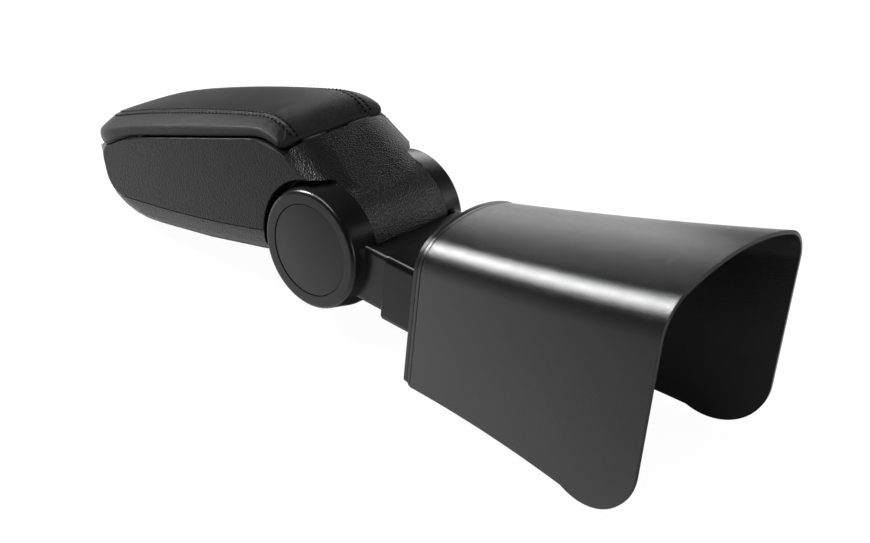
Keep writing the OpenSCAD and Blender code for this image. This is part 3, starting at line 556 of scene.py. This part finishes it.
def leather(name, colour, roughness):
    """Black car leather: small pebbles of uneven size with creases between them."""
    pebble_scale, drift_scale, drift_bend = 900, 160, 0.0025
    crease_width, crease_depth = 0.3, 0.00016
    patch_scale, patch_detail, glossier, duller = 18, 5, 0.07, 0.09
    material, tree, shader = principled(name, colour, roughness, Specular_IOR_Level=0.24)
    place = fitted(tree, "TexCoord").outputs["Object"]
    drift = fitted(tree, "TexNoise", Scale=drift_scale)
    tree.links.new(place, drift.inputs["Vector"])
    pebble = fitted(tree, "TexVoronoi", Scale=pebble_scale)
    pebble.feature = "DISTANCE_TO_EDGE"
    tree.links.new(bent_place(tree, place, drift, drift_bend), pebble.inputs["Vector"])
    crease = fitted(tree, "MapRange", From_Max=crease_width)
    crease.interpolation_type = "SMOOTHSTEP"
    tree.links.new(pebble.outputs["Distance"], crease.inputs["Value"])
    bumped(tree, shader, crease.outputs[0], crease_depth)
    patchy_gloss(tree, shader, place, patch_scale, patch_detail, roughness - glossier, roughness + duller)
    return material


def bell(distance, width):
    """1 at no distance, and close to 0 two widths away."""
    return np.exp(-(distance / width) ** 2)


lid_leather = leather("lid_black_leather", (0.005, 0.005, 0.0053), roughness=0.42)
skin = on_arm(lid_points)
cushion = made("lid_cushion", skin, lid_faces, "lid", lid_leather, "lid_foam", "lid_cover")

# The seam is a narrow crease between two low ridges, and the thread pulls each row in a little.
seam_dent, seam_dent_half = 0.8, 0.55
ridge, ridge_off, ridge_half = 0.15, 1.5, 1.0
row_dent, row_off, row_half = 0.4, 2.9, 0.9
hem_band = 1.0
cushion_mesh = cushion.data
cushion_mesh.update()
normals = np.zeros(len(cushion_mesh.vertices) * 3, np.float32)
cushion_mesh.vertices.foreach_get("normal", normals)
normals = normals.reshape(-1, 3)
off_seam = lid_grid[..., 3].reshape(-1)
above_hem = lid_grid[..., 2].reshape(-1) > lid_low - fall(lid_grid[..., 0].reshape(-1)) + hem_band
relief = -seam_dent * bell(off_seam, seam_dent_half) + ridge * bell(abs(off_seam) - ridge_off, ridge_half)
relief -= row_dent * bell(abs(off_seam) - row_off, row_half)
skin = skin + normals * (relief * above_hem / 1000)[:, None]
cushion_mesh.vertices.foreach_set("co", skin.astype(np.float32).ravel())
cushion_mesh.update()

# Stitches: heavy black thread, sewn through the leather in two rows beside the seam.
# Each stitch is a short round bar whose two ends dip into the leather.
thread_black = grained("stitch_thread", (0.0015, 0.0015, 0.0016), roughness=0.9, grain=0.0004,
                       depth=0.00004, Specular_IOR_Level=0.0)
stitch_len, stitch_gap, thread_r, thread_sides = 0.0025, 0.0021, 0.0007, 8
# Along a stitch: the share of its length, then its radius and its height, both in thread radii
stitch_shape = ((0.0, 0.35, -0.4), (0.15, 0.85, 0.1), (0.5, 1.0, 0.3), (0.85, 0.85, 0.1), (1.0, 0.35, -0.4))
path_step, nose_path_steps, first_stitch, over_lid = 0.5, 120, 0.001, 170
outer_slant, inner_slant = 0.87, 0.97
# In plan the rows come a little closer to the seam, more so on the slope outside it
outer_row, inner_row = seam_inset - row_off * outer_slant, seam_inset + row_off * inner_slant
leather_skin = BVHTree.FromPolygons([Vector(p) for p in skin], lid_faces)


def seam_path(inset):
    """Plan points on a line at that inset, in the box's frame: up one side, round the nose and back."""
    path = [(x, lid_half - inset) for x in np.arange(lid_rear - path_step, nose_start, -path_step)]
    path += nose_curve(nose_reach - inset, lid_half - inset, nose_path_steps)
    return path + [(x, -y) for x, y in path[-2::-1]]


def sew(start, end, normal):
    """Adds one stitch from its start to its end, on leather that faces along the normal."""
    along = (end - start).normalized()
    across = along.cross(normal).normalized()
    first, sides = len(stitch_points), range(thread_sides)
    for u, fat, lift in stitch_shape:
        middle = start.lerp(end, u) + normal * thread_r * lift
        for a in sides:
            turn = a * 2 * math.pi / thread_sides
            spoke = across * math.cos(turn) + normal * math.sin(turn)
            stitch_points.append(middle + spoke * thread_r * fat)
    for ring in range(len(stitch_shape) - 1):
        for a in sides:
            i, j = first + ring * thread_sides + a, first + ring * thread_sides + (a + 1) % thread_sides
            stitch_faces.append((i, j, j + thread_sides, i + thread_sides))
    last = first + (len(stitch_shape) - 1) * thread_sides
    stitch_faces.append(tuple(first + a for a in reversed(sides)))
    stitch_faces.append(tuple(last + a for a in sides))


down = Vector(on_arm([(0, 0, 0)])[0]) - Vector(on_arm([(0, 0, 1000)])[0])
down.normalize()
stitch_points, stitch_faces = [], []
for inset in (outer_row, inner_row):
    hits = []
    for point in on_arm([(x, y, over_lid) for x, y in seam_path(inset)]):
        spot, normal, _, _ = leather_skin.ray_cast(Vector(point), down)
        if spot:
            hits.append((spot, normal))
    run = np.concatenate([[0], np.cumsum([(b[0] - a[0]).length for a, b in zip(hits, hits[1:])])])
    spots = np.array([tuple(spot) for spot, normal in hits])
    for begin in np.arange(first_stitch, run[-1] - stitch_len, stitch_len + stitch_gap):
        start, end = (Vector([np.interp(begin + d, run, spots[:, k]) for k in range(3)])
                      for d in (0, stitch_len))
        nearest = min(len(hits) - 1, int(np.searchsorted(run, begin + stitch_len / 2)))
        sew(start, end, hits[nearest][1].normalized())
made("lid_stitches", stitch_points, stitch_faces, "lid", thread_black)

# Size: the dressed armrest's box, in metres, measured after the finishes and the padding.
low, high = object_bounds()
